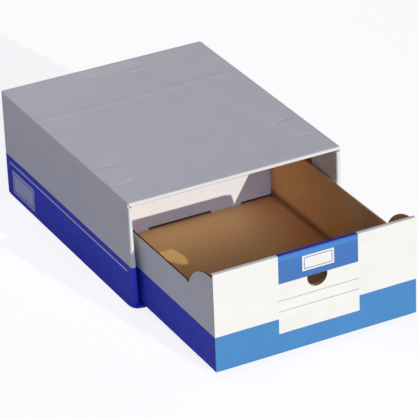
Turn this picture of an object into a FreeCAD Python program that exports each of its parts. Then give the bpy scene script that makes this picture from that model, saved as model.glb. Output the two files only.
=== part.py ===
import FreeCAD, Part
import math
import os

# Corrugated-board file box: a sleeve, open at the front, and the drawer that slides in it.
# Millimetres. +Z is up, the drawer pulls out towards -Y, and the origin is the middle of the
# sleeve's underside. Every panel between two creases is a solid of its own, and panels that
# one crease joins meet face to face.

# Board
BOARD = 2.0                    # thickness of the corrugated board
CREASE_RADIUS = 2.0            # outer radius of a right-angled crease
FOLD_GAP = 0.6                 # air between a panel and the flap folded back against it
FLAP_CLEARANCE = 0.4           # gap at the free edge of an inner flap

# Drawer
DRAWER_WIDTH = 260.0
DRAWER_LENGTH = 346.0
DRAWER_FRONT_HEIGHT = 124.0
DRAWER_SIDE_HEIGHT = 88.5
DRAWER_PULLED_OUT = 181.0      # front of the drawer before the mouth, at rest
DRAWER_SIDEWAYS = 2.4          # the drawer runs this far right of the sleeve's middle
EAR_LENGTH = 61.0              # the raised part of a drawer side, from the front
EAR_PEAK = 8.0                 # its highest point, from the front
EAR_GAP = 2.5                  # that point below the strip over the front
EAR_NOTCH_DEPTH = 2.2
EAR_NOTCH_WIDTH = 4.5
CORNER_FLAP_REACH = 58.0       # flaps between the two layers of front and back
CORNER_FLAP_TAPER = 8.0
CORNER_FLAP_GAP = 1.0
LINING_SIDE_GAP = 0.4          # inner front or back panel to the drawer's side
LINING_LIFT = 3.0              # its lower edge above the drawer's floor, between the tabs
TAB_FROM_MIDDLE = 43.0
TAB_WIDTH = 42.0
TAB_SLOT_CLEARANCE = 0.3
FINGER_HOLE_WIDTH = 28.0
FINGER_HOLE_DROP = 35.5        # flat upper edge below the top of the front
FINGER_HOLE_DEPTH = 14.5

# Play of the drawer in the sleeve
SIDE_PLAY = 5.4                # each side, with the drawer in the middle
TOP_PLAY = 6.2                 # front of the drawer below the mouth's upper edge
REAR_PLAY = 6.0                # behind the closed drawer
SLIDE_CLEARANCE = 0.6          # drawer above the flap that it slides on

# Sleeve
TURN_IN_DEPTH = 65.0           # how far the flaps turned in at the mouth reach to the rear
TURN_IN_TAPER = 12.0           # slope cut off the rear corners of those flaps
CORNER_SLIT = 1.2              # slit between the rolled edges that meet at a mouth corner
WALL_CORNER_RADIUS = 11.0      # rounding of a side wall's lower rear corner
SIDE_FLAP_REACH = 60.0         # width of the flaps behind the rear panel
SIDE_FLAP_TAPER = 14.0
SIDE_FLAP_LIFT = 3.0           # a side flap's lower edge above the floor board
TUCK_FLAP_DEPTH = 94.0
TUCK_FLAP_TAPER = 10.0
TUCK_SIDE_GAP = 1.5
SLOT_LENGTH = 90.0             # locking slot in the top
SLOT_WIDTH = 3.0
SLOT_FROM_REAR = 29.5          # middle of the slot to the rear face
SLOT_SIDEWAYS = 5.0            # the slot's middle lies this far right of the box's
TONGUE_CLEARANCE = 0.5         # gap round the tongue that stands in the slot
SEAM_FLAP_WIDTH = 28.0         # glued seam along the lower left edge
SEAM_END_GAP = 9.0

# Sleeve sizes, which follow from the drawer and its play
ROLL = 2 * BOARD + FOLD_GAP    # thickness of a turned-in edge
DRAWER_BOTTOM = ROLL + SLIDE_CLEARANCE
CASING_WIDTH = DRAWER_WIDTH + 2 * (SIDE_PLAY + ROLL)
CASING_DEPTH = DRAWER_LENGTH + REAR_PLAY + 2 * BOARD
CASING_HEIGHT = DRAWER_BOTTOM + DRAWER_FRONT_HEIGHT + TOP_PLAY + ROLL

# Sleeve planes
FRONT = -CASING_DEPTH / 2
REAR = CASING_DEPTH / 2
OUTER = CASING_WIDTH / 2
INNER = OUTER - BOARD
ROLL_BACK = FRONT + ROLL / 2   # where a rolled edge ends and its two layers begin
REAR_INNER = REAR - BOARD
CEILING = CASING_HEIGHT - BOARD
TURN_IN_END = FRONT + TURN_IN_DEPTH

# Drawer planes
DRAWER_FLOOR_TOP = DRAWER_BOTTOM + BOARD
DRAWER_FRONT = FRONT - DRAWER_PULLED_OUT
DRAWER_BACK = DRAWER_FRONT + DRAWER_LENGTH
DRAWER_OUTER = DRAWER_WIDTH / 2
DRAWER_INNER = DRAWER_OUTER - BOARD
END_THICKNESS = 3 * BOARD      # outer panel, corner flap and lining
DRAWER_FRONT_TOP = DRAWER_BOTTOM + DRAWER_FRONT_HEIGHT
DRAWER_SIDE_TOP = DRAWER_BOTTOM + DRAWER_SIDE_HEIGHT
EAR_TOP = DRAWER_FRONT_TOP - BOARD - EAR_GAP

PAST = 1.0                     # how far a cutting shape runs past what it cuts


def vector(x, y, z):
    return FreeCAD.Vector(x, y, z)


def block(x0, x1, y0, y1, z0, z1):
    """Box between two corners."""
    return Part.makeBox(x1 - x0, y1 - y0, z1 - z0, vector(x0, y0, z0))


def sheet(points, along, thickness):
    """Flat panel: a closed outline of straight lines, given thickness along one axis."""
    outline = Part.makePolygon(points + [points[0]])
    return Part.Face(outline).extrude(along * thickness)


def tapered_x(edge, end, low, high, at, taper):
    """Upright flap standing across the box, hinged at x = edge, its free end at x = end."""
    inward = math.copysign(taper, end - edge)
    points = [
        vector(edge, at, low),
        vector(end - inward, at, low),
        vector(end, at, low + taper),
        vector(end, at, high - taper),
        vector(end - inward, at, high),
        vector(edge, at, high),
    ]
    return sheet(points, vector(0, 1, 0), BOARD)


def tapered_y(half_width, hinge, end, at, taper):
    """Level flap across the box, hinged at y = hinge, its free end at y = end."""
    back = math.copysign(taper, end - hinge)
    points = [
        vector(-half_width, hinge, at),
        vector(half_width, hinge, at),
        vector(half_width, end - back, at),
        vector(half_width - taper, end, at),
        vector(taper - half_width, end, at),
        vector(-half_width, end - back, at),
    ]
    return sheet(points, vector(0, 0, 1), BOARD)


def mirrored(shape, middle=0.0):
    """The same piece on the other side of the plane x = middle."""
    return shape.mirror(vector(middle, 0, 0), vector(1, 0, 0))


def edges_at(shape, test):
    """The edges whose two ends both pass the test."""
    return [e for e in shape.Edges if all(test(v.Point) for v in e.Vertexes)]


def near(value, target):
    return abs(value - target) < 0.001


def rounded(shape, radius, test):
    return shape.makeFillet(radius, edges_at(shape, test))


def sleeve_outline():
    """The sleeve's outside as a solid bar with its four long creases rounded."""
    bar = block(-OUTER, OUTER, FRONT - PAST, REAR + PAST, 0, CASING_HEIGHT)
    long_edges = [e for e in bar.Edges if abs(e.tangentAt(e.FirstParameter).y) > 0.5]
    return bar.makeFillet(CREASE_RADIUS, long_edges)


def roll(start, direction, length):
    """Half-round rolled edge along the mouth, its flat side towards the rear."""
    rod = Part.makeCylinder(ROLL / 2, length, start, direction)
    reach = ROLL + length
    front_half = Part.makeBox(
        2 * reach, ROLL, 2 * reach, vector(start.x - reach, ROLL_BACK - ROLL, start.z - reach)
    )
    return rod.common(front_half)


# ---- Sleeve ----

def casing_wall():
    """Left side wall. It carries the rounded creases above and below it."""
    strip = block(-OUTER, -INNER, ROLL_BACK, REAR_INNER, 0, CASING_HEIGHT)
    wall = strip.common(sleeve_outline())
    corner = block(-OUTER - PAST, -INNER + PAST, REAR_INNER - WALL_CORNER_RADIUS,
                   REAR_INNER + PAST, -PAST, WALL_CORNER_RADIUS)
    keep = Part.makeCylinder(
        WALL_CORNER_RADIUS, BOARD + 2 * PAST,
        vector(-OUTER - PAST, REAR_INNER - WALL_CORNER_RADIUS, WALL_CORNER_RADIUS),
        vector(1, 0, 0),
    )
    return wall.cut(corner.cut(keep))


def slot_box(clearance, low, high):
    half_length = SLOT_LENGTH / 2 - clearance
    half_width = SLOT_WIDTH / 2 - clearance
    middle = REAR - SLOT_FROM_REAR
    return block(SLOT_SIDEWAYS - half_length, SLOT_SIDEWAYS + half_length,
                 middle - half_width, middle + half_width, low, high)


def casing_top():
    panel = block(-INNER, INNER, ROLL_BACK, REAR, CEILING, CASING_HEIGHT)
    return panel.cut(slot_box(0, CEILING - PAST, CASING_HEIGHT + PAST))


def casing_floor():
    return block(-INNER, INNER, ROLL_BACK, REAR_INNER, 0, BOARD)


def casing_rear_panel():
    """Rises from the floor's rear crease to the crease of the tuck flap."""
    panel = block(-INNER, INNER, REAR_INNER, REAR, 0, CEILING)
    return rounded(panel, CREASE_RADIUS - FLAP_CLEARANCE,
                   lambda p: near(p.y, REAR) and (near(p.z, 0) or near(p.z, CEILING)))


def casing_tuck_flap():
    """Turned in under the top. Its tongue stands up in the locking slot."""
    flap = tapered_y(INNER - TUCK_SIDE_GAP, REAR_INNER, REAR_INNER - TUCK_FLAP_DEPTH,
                     CEILING - BOARD, TUCK_FLAP_TAPER)
    tongue = slot_box(TONGUE_CLEARANCE, CEILING - BOARD, CASING_HEIGHT - TONGUE_CLEARANCE)
    return flap.fuse(tongue).removeSplitter()


def casing_side_flap():
    """Left flap behind the rear panel."""
    return tapered_x(-INNER, -INNER + SIDE_FLAP_REACH, BOARD + SIDE_FLAP_LIFT,
                     CEILING - BOARD - FLAP_CLEARANCE, REAR_INNER - BOARD, SIDE_FLAP_TAPER)


def level_turn_in(flap_bottom, roll_middle):
    """Turned-in flap of the top or the floor, with the rolled edge in front of it."""
    half_width = OUTER - ROLL
    flap = tapered_y(half_width, ROLL_BACK, TURN_IN_END, flap_bottom, TURN_IN_TAPER)
    edge = roll(vector(-OUTER, ROLL_BACK, roll_middle), vector(1, 0, 0), CASING_WIDTH)
    return flap.fuse(edge.common(sleeve_outline())).removeSplitter()


def side_turn_in():
    """Turned-in flap of the left wall. Slits part its rolled edge from those above and below."""
    low = ROLL + CORNER_SLIT
    high = CASING_HEIGHT - ROLL - CORNER_SLIT
    inner_face = -OUTER + ROLL
    points = [
        vector(inner_face - BOARD, ROLL_BACK, low),
        vector(inner_face - BOARD, TURN_IN_END - TURN_IN_TAPER, low),
        vector(inner_face - BOARD, TURN_IN_END, low + TURN_IN_TAPER),
        vector(inner_face - BOARD, TURN_IN_END, high - TURN_IN_TAPER),
        vector(inner_face - BOARD, TURN_IN_END - TURN_IN_TAPER, high),
        vector(inner_face - BOARD, ROLL_BACK, high),
    ]
    flap = sheet(points, vector(1, 0, 0), BOARD)
    edge = roll(vector(-OUTER + ROLL / 2, ROLL_BACK, low), vector(0, 0, 1), high - low)
    return flap.fuse(edge).removeSplitter()


def casing_seam_flap():
    """Strip of the left wall glued down on the floor, behind the turned-in flap."""
    return block(-INNER, SEAM_FLAP_WIDTH - INNER, TURN_IN_END + SEAM_END_GAP,
                 REAR_INNER - BOARD - SEAM_END_GAP, BOARD, 2 * BOARD)


# ---- Drawer ----

def ear_outline():
    """Side wall seen from the left: the level edge, the notch and the arc of the ear."""
    near_end = DRAWER_FRONT + BOARD
    far_end = DRAWER_BACK - BOARD
    low = DRAWER_SIDE_TOP - EAR_NOTCH_DEPTH
    notch = DRAWER_FRONT + EAR_LENGTH
    peak = DRAWER_FRONT + EAR_PEAK
    rise = EAR_TOP - low
    run = notch - peak
    radius = (run ** 2 + rise ** 2) / (2 * rise)

    def on_arc(y):
        return vector(0, y, EAR_TOP - radius + math.sqrt(radius ** 2 - (y - peak) ** 2))

    corners = [
        on_arc(near_end),
        vector(0, near_end, DRAWER_BOTTOM),
        vector(0, far_end, DRAWER_BOTTOM),
        vector(0, far_end, DRAWER_SIDE_TOP),
        vector(0, notch + EAR_NOTCH_WIDTH, DRAWER_SIDE_TOP),
        on_arc(notch),
    ]
    edges = [Part.LineSegment(a, b).toShape() for a, b in zip(corners, corners[1:])]
    edges.append(Part.Arc(corners[-1], on_arc(peak), corners[0]).toShape())
    return Part.Wire(edges)


def drawer_wall():
    """Left side wall with its ear. It carries the rounded crease below it."""
    outline = ear_outline()
    outline.translate(vector(DRAWER_SIDEWAYS - DRAWER_OUTER, 0, 0))
    wall = Part.Face(outline).extrude(vector(BOARD, 0, 0))
    return rounded(wall, CREASE_RADIUS - FLAP_CLEARANCE,
                   lambda p: near(p.x, DRAWER_SIDEWAYS - DRAWER_OUTER)
                   and near(p.z, DRAWER_BOTTOM))


def tab_ranges():
    """Sideways extent of the two tabs of a lining."""
    inner = TAB_FROM_MIDDLE
    outer = TAB_FROM_MIDDLE + TAB_WIDTH
    return [(DRAWER_SIDEWAYS - outer, DRAWER_SIDEWAYS - inner),
            (DRAWER_SIDEWAYS + inner, DRAWER_SIDEWAYS + outer)]


def drawer_floor(front_lining_y, back_lining_y):
    """Floor with a slot for each lining tab."""
    floor = block(DRAWER_SIDEWAYS - DRAWER_INNER, DRAWER_SIDEWAYS + DRAWER_INNER,
                  DRAWER_FRONT + BOARD, DRAWER_BACK - BOARD, DRAWER_BOTTOM, DRAWER_FLOOR_TOP)
    gap = TAB_SLOT_CLEARANCE
    for lining_y in (front_lining_y, back_lining_y):
        for left, right in tab_ranges():
            floor = floor.cut(block(left - gap, right + gap, lining_y - gap,
                                    lining_y + BOARD + gap,
                                    DRAWER_BOTTOM - PAST, DRAWER_FLOOR_TOP + PAST))
    return floor


def end_panel(y0, outer_y, top):
    """Outer layer of the drawer's front or back, rounded where it meets the floor."""
    panel = block(DRAWER_SIDEWAYS - DRAWER_OUTER, DRAWER_SIDEWAYS + DRAWER_OUTER,
                  y0, y0 + BOARD, DRAWER_BOTTOM, top - BOARD)
    return rounded(panel, CREASE_RADIUS - FLAP_CLEARANCE,
                   lambda p: near(p.y, outer_y) and near(p.z, DRAWER_BOTTOM))


def end_rim(y0, half_width, top):
    """Strip that closes the top of a double end, with both of its creases rounded."""
    rim = block(DRAWER_SIDEWAYS - half_width, DRAWER_SIDEWAYS + half_width,
                y0, y0 + END_THICKNESS, top - BOARD, top)
    rim_ends = (y0, y0 + END_THICKNESS)
    return rounded(rim, CREASE_RADIUS - FLAP_CLEARANCE,
                   lambda p: near(p.z, top) and any(near(p.y, y) for y in rim_ends))


def end_lining(y0, top):
    """Inner layer of the front or back, held by two tabs in the floor."""
    half_width = DRAWER_INNER - LINING_SIDE_GAP
    low = DRAWER_FLOOR_TOP + LINING_LIFT
    lining = block(DRAWER_SIDEWAYS - half_width, DRAWER_SIDEWAYS + half_width,
                   y0, y0 + BOARD, low, top - BOARD)
    for left, right in tab_ranges():
        lining = lining.fuse(block(left, right, y0, y0 + BOARD, DRAWER_BOTTOM, low))
    return lining.removeSplitter()


def corner_flap(y0, top):
    """Left flap of a drawer side, held between the two layers of an end."""
    return tapered_x(DRAWER_SIDEWAYS - DRAWER_INNER,
                     DRAWER_SIDEWAYS - DRAWER_INNER + CORNER_FLAP_REACH,
                     DRAWER_FLOOR_TOP + CORNER_FLAP_GAP, top - BOARD - CORNER_FLAP_GAP,
                     y0, CORNER_FLAP_TAPER)


def finger_hole():
    """D-shaped cutter through both layers of the front, its straight edge above."""
    top = DRAWER_FRONT_TOP - FINGER_HOLE_DROP
    half = FINGER_HOLE_WIDTH / 2
    left = vector(DRAWER_SIDEWAYS - half, DRAWER_FRONT - PAST, top)
    right = vector(DRAWER_SIDEWAYS + half, DRAWER_FRONT - PAST, top)
    bottom = vector(DRAWER_SIDEWAYS, DRAWER_FRONT - PAST, top - FINGER_HOLE_DEPTH)
    outline = Part.Wire([Part.Arc(left, bottom, right).toShape(),
                         Part.LineSegment(right, left).toShape()])
    return Part.Face(outline).extrude(vector(0, END_THICKNESS + 2 * PAST, 0))


def sleeve_nodes():
    wall = casing_wall()
    turn_in = side_turn_in()
    side_flap = casing_side_flap()
    return {
        "casing_top": casing_top(),
        "casing_floor": casing_floor(),
        "casing_left_wall": wall,
        "casing_right_wall": mirrored(wall),
        "casing_top_turn_in": level_turn_in(CASING_HEIGHT - ROLL, CASING_HEIGHT - ROLL / 2),
        "casing_floor_turn_in": level_turn_in(ROLL - BOARD, ROLL / 2),
        "casing_left_turn_in": turn_in,
        "casing_right_turn_in": mirrored(turn_in),
        "casing_rear_panel": casing_rear_panel(),
        "casing_rear_tuck_flap": casing_tuck_flap(),
        "casing_rear_left_flap": side_flap,
        "casing_rear_right_flap": mirrored(side_flap),
        "casing_seam_flap": casing_seam_flap(),
    }


def drawer_nodes():
    front_lining_y = DRAWER_FRONT + END_THICKNESS - BOARD
    back_lining_y = DRAWER_BACK - END_THICKNESS
    back_panel_y = DRAWER_BACK - BOARD
    wall = drawer_wall()
    front_flap = corner_flap(DRAWER_FRONT + BOARD, EAR_TOP)
    back_flap = corner_flap(DRAWER_BACK - 2 * BOARD, DRAWER_SIDE_TOP)
    hole = finger_hole()
    return {
        "drawer_floor": drawer_floor(front_lining_y, back_lining_y),
        "drawer_left_wall": wall,
        "drawer_right_wall": mirrored(wall, DRAWER_SIDEWAYS),
        "drawer_front_panel": end_panel(DRAWER_FRONT, DRAWER_FRONT, DRAWER_FRONT_TOP).cut(hole),
        "drawer_front_rim": end_rim(DRAWER_FRONT, DRAWER_OUTER, DRAWER_FRONT_TOP),
        "drawer_front_lining": end_lining(front_lining_y, DRAWER_FRONT_TOP).cut(hole),
        "drawer_front_left_flap": front_flap,
        "drawer_front_right_flap": mirrored(front_flap, DRAWER_SIDEWAYS),
        "drawer_back_panel": end_panel(back_panel_y, DRAWER_BACK, DRAWER_SIDE_TOP),
        "drawer_back_rim": end_rim(back_lining_y, DRAWER_INNER, DRAWER_SIDE_TOP),
        "drawer_back_lining": end_lining(back_lining_y, DRAWER_SIDE_TOP),
        "drawer_back_left_flap": back_flap,
        "drawer_back_right_flap": mirrored(back_flap, DRAWER_SIDEWAYS),
    }


def main():
    os.makedirs("parts", exist_ok=True)
    nodes = sleeve_nodes()
    nodes.update(drawer_nodes())
    for name, shape in nodes.items():
        solid = shape.Solids[0]
        solid.exportStep(os.path.join("parts", name + ".step"))
        box = solid.BoundBox
        print(f"{name:26s} solids {len(shape.Solids)} valid {solid.isValid()} "
              f"volume {solid.Volume:10.1f}  x {box.XMin:7.1f} {box.XMax:7.1f}  "
              f"y {box.YMin:7.1f} {box.YMax:7.1f}  z {box.ZMin:6.1f} {box.ZMax:6.1f}")


main()
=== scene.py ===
import cmath
import math
from functools import partial, reduce
import bmesh
import bpy
import numpy as np
from mathutils import Euler, Matrix, Vector
from mathutils.geometry import delaunay_2d_cdt


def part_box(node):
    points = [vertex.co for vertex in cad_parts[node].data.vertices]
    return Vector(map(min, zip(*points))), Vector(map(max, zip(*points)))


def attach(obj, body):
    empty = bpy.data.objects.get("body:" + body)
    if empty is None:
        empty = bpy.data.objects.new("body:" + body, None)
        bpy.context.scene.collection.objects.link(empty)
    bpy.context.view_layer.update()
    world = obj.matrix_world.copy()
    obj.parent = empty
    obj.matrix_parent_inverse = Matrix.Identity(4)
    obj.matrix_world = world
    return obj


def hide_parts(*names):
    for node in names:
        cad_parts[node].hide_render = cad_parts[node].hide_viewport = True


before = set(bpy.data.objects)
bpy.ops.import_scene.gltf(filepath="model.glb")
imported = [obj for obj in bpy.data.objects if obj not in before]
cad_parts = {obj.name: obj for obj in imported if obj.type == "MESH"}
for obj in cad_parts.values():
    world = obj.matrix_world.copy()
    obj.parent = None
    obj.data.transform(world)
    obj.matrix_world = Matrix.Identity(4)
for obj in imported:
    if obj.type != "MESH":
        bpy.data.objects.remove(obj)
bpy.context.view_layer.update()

# Lengths are in millimetres up to the point where a mesh or a shader node is made, where they
# are multiplied by MM. Only the floor, the lights and the camera are given in metres.
MM = 0.001


def box_mm(node):
    low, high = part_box(node)
    return [c / MM for c in low], [c / MM for c in high]


# ---- Sizes read from the frame: the sleeve's, then the drawer's ----
wall_low, wall_high = box_mm("casing_right_wall")
top_high = box_mm("casing_top")[1]
turn_low, turn_high = box_mm("casing_top_turn_in")
tuck_low, tuck_high = box_mm("casing_rear_tuck_flap")
side_flap_low, side_flap_high = box_mm("casing_rear_right_flap")
seam_low, seam_high = box_mm("casing_seam_flap")
side_turn_low, side_turn_high = box_mm("casing_right_turn_in")
BOARD = wall_high[0] - wall_low[0]
HALF = BOARD / 2
OUTER = wall_high[0]
HEIGHT = wall_high[2]
FRONT = turn_low[1]
REAR = top_high[1]
REAR_INNER = wall_high[1]
TURN_IN_END = turn_high[1]
ROLL = HEIGHT - turn_low[2]
CEILING = HEIGHT - BOARD

d_wall_high = box_mm("drawer_left_wall")[1]
d_front_low, d_front_high = box_mm("drawer_front_panel")
d_rim_low, d_rim_high = box_mm("drawer_front_rim")
d_back_high = box_mm("drawer_back_panel")[1]
d_back_rim_high = box_mm("drawer_back_rim")[1]
d_lining_low, d_lining_high = box_mm("drawer_front_lining")
D_LEFT = d_front_low[0]
D_RIGHT = d_front_high[0]
D_MIDDLE = (D_LEFT + D_RIGHT) / 2
D_HALF = (D_RIGHT - D_LEFT) / 2
D_BOTTOM = d_front_low[2]
D_FRONT = d_front_low[1]
D_BACK = d_back_high[1]
D_FRONT_TOP = d_rim_high[2]
D_SIDE_TOP = d_back_rim_high[2]
D_EAR_TOP = d_wall_high[2]
END_THICKNESS = d_rim_high[1] - d_rim_low[1]

# ---- Details of the board ----
CREASE_OUT = 1.5                 # outer radius of a crease, where the board is crushed
QUARTER = 3.0                    # a crease's share of a panel's flat pattern
CREASE_STEPS = 6
LINER = 0.28                     # thickness of one paper liner
MEDIUM = 0.26                    # thickness of the fluted paper
FLUTE_PITCH = 3.4
CORE_INSET = 1.1                 # how far the fluted core lies back at a cut edge
FLUTE_FRONT, FLUTE_DEEP = 0.12, CORE_INSET + 0.05      # from the edge to the flutes' two ends
SCORE_WIDTH = 1.0
SCORE_DEPTH = 0.09
SCORE_PROFILE = ((-1, 0), (-0.4, 1), (0.4, 1), (1, 0))     # (sideways, depth), as shares
CELL = 9.0                       # usual spacing of a panel's vertices
SHORTEST = 0.05                  # no edge of the boundary is cut shorter than this
CLEAR = 0.45                     # grid vertices keep this far from the boundary
MERGE = 0.004                    # vertices closer than this become one
SAME_LINE = 0.02                 # an edge this close to a joined line lies on it
SHARP_ANGLE = 32.0
NEARLY_STRAIGHT = 0.2            # the sine of the turn at a boundary point

# ---- Details of the sleeve ----
TURN_IN_TAPER = 12.0
ROLL_GAP = 0.7                   # between the floor's rolled edge and the sides'
LEFT_SWELL = (0.0, 2.0)          # a side's rolled edge is this much fuller, at its head and foot
RIGHT_SWELL = (0.6, 1.0)
SWELL_FADE = 45.0
CORNER_GIVE = (2.1, 1.4, 2.24)   # a lower front corner is pressed in this much along x, y, z
CORNER_REACH = 17.0
WALL_CORNER_RADIUS = 11.0
WALL_UNEVEN = 0.35               # the depth of a face's slow unevenness
REAR_UNEVEN = 0.4
FACE_CALM = (60.0, 40.0)         # it fades out this near the face's edges, along and up
TOP_SAG = 0.5                    # the top dips this much in its middle
TOP_CALM = (90.0, 60.0)          # across and along
TUCK_RIDGE = 0.2                 # and it bulges over the tuck flap's end
TUCK_RIDGE_CALM = (25.0, 40.0)
TUCK_RIDGE_WIDTH = 3.6
TUCK_RIDGE_FROM_REAR = 102.0
RIDGE_GRID = (-8, -5.5, -3.5, -2, 0, 2, 3.5, 5.5, 8)        # closer grid lines over the ridge
SLOT_GRID = (-11, -7, -5, -3, -1.5, 1, 3, 5, 7, 9, 12, 16, 20)   # and around the slot
TAB_SCORE_FROM_FRONT = (50.0, 100.0)   # the two tabs scored at the top's side edges
TAB_SCORE_REACH = 38.0
TAB_SCORE_RADIUS = 12.0
SLOT_LENGTH = 82.0
SLOT_WIDTH = 1.6
SLOT_FROM_REAR = 35.0            # at its middle; the ends curve back towards the rear
SLOT_BOW = 5.0
SLOT_SIDEWAYS = 3.0
SLOT_PRESS = 0.5                 # the top is pressed in this much behind the slot
PRESS_REACH = 30.0
LIP_DIP = 0.34                   # and this much at the right of its front lip
LIP_REACH = 14.0
TONGUE_RISE = 2.3
TONGUE_THIN = 0.6                # its thickness, as a share of the board's
TUCK_TAPER = 10.0
SIDE_FLAP_TAPER = 14.0

# ---- Details of the drawer ----
D_WALL_UNEVEN = 0.6
D_WALL_CALM = (70.0, 60.0)
EAR_LENGTH = 61.0
EAR_PEAK = 8.0
EAR_NOTCH_DEPTH = 2.2
EAR_NOTCH_WIDTH = 4.5
HOLE_WIDTH = 25.6
HOLE_DROP = 35.0
HOLE_DEPTH = 15.2
HOLE_SIDEWAYS = 1.0
LINING_LIFT = 3.0                # the lining ends this far above the floor, but for its tabs
TAB_FROM_MIDDLE = 43.0
TAB_WIDTH = 42.0
TAB_GAP = 0.3
CORNER_FLAP_TAPER = 8.0


# ---- Geometry of a panel ----
PRINTED, BARE, CUT = 0, 1, 2     # a piece's paints: its printed side, bare side and cut edges


def subdivide(loop, u_lines, v_lines, step):
    """Cuts a loop's straight runs at the grid lines and into steps."""
    points = []
    for (u0, v0), (u1, v1) in zip(loop, loop[1:] + loop[:1]):
        length = math.hypot(u1 - u0, v1 - v0)
        if abs(v1 - v0) < 1e-6:
            cuts = (u_lines - u0) / (u1 - u0)
        elif abs(u1 - u0) < 1e-6:
            cuts = (v_lines - v0) / (v1 - v0)
        else:
            cuts = np.linspace(0, 1, max(1, math.ceil(length / step - 0.01)) + 1)
        kept = [0.0]
        for t in sorted(cuts):
            if kept[-1] + SHORTEST / length < t < 1 - SHORTEST / length:
                kept.append(t)
        points += [(u0 + (u1 - u0) * t, v0 + (v1 - v0) * t) for t in kept]
    return points


def edges(loops):
    for loop in loops:
        a = np.array(loop)
        yield from zip(a, np.roll(a, -1, axis=0))


def inside(loops, u, v):
    """Even-odd test of many points against closed loops."""
    odd = np.zeros(len(u), bool)
    for (u0, v0), (u1, v1) in edges(loops):
        if v0 != v1:
            crosses = (v0 > v) != (v1 > v)
            odd ^= crosses & (u < (u1 - u0) * (v - v0) / (v1 - v0) + u0)
    return odd


def gap_to(loops, u, v):
    """Distance of each point from the nearest boundary."""
    best = np.full(len(u), np.inf)
    for p, q in edges(loops):
        d = q - p
        t = np.clip(((u - p[0]) * d[0] + (v - p[1]) * d[1]) / max(d @ d, 1e-12), 0, 1)
        best = np.minimum(best, np.hypot(u - p[0] - t * d[0], v - p[1] - t * d[1]))
    return best


def grid_lines(low, high, extra, step):
    """Evenly spaced lines from low to high, with the extra ones in place of those close by."""
    regular = np.linspace(low, high, max(2, round((high - low) / step) + 1))
    extra = np.array(sorted(e for e in extra if low <= e <= high))
    if len(extra):
        far = np.abs(regular[:, None] - extra[None, :]).min(1) > 0.35 * step
        far[0] = far[0] or abs(regular[0] - extra[0]) > 1e-6
        far[-1] = far[-1] or abs(regular[-1] - extra[-1]) > 1e-6
        regular = np.concatenate([regular[far], extra])
    return np.unique(np.round(regular, 6))


def edge_normals(loop):
    """Unit normal of each boundary edge, towards the board."""
    a = np.array(loop)
    d = np.roll(a, -1, axis=0) - a
    return np.stack([-d[:, 1], d[:, 0]], 1) / np.linalg.norm(d, axis=1)[:, None]


def inset_points(loop, normals, insets):
    """Moves each boundary point inwards by its two edges' own insets."""
    shifts = []
    for i in range(len(loop)):
        n1, n2 = normals[i - 1], normals[i]
        d1, d2 = insets[i - 1], insets[i]
        cross = n1[0] * n2[1] - n1[1] * n2[0]
        if abs(cross) < NEARLY_STRAIGHT:
            shifts.append((n1 + n2) / np.linalg.norm(n1 + n2) * (d1 + d2) / 2)
        else:
            shifts.append(((d1 * n2[1] - d2 * n1[1]) / cross, (n1[0] * d2 - n2[0] * d1) / cross))
    return np.array(loop) + shifts


def runs_left(loop):
    """Whether a loop runs round to the left: its area is positive."""
    return sum(p[0] * q[1] - q[0] * p[1] for p, q in edges([loop])) > 0


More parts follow.
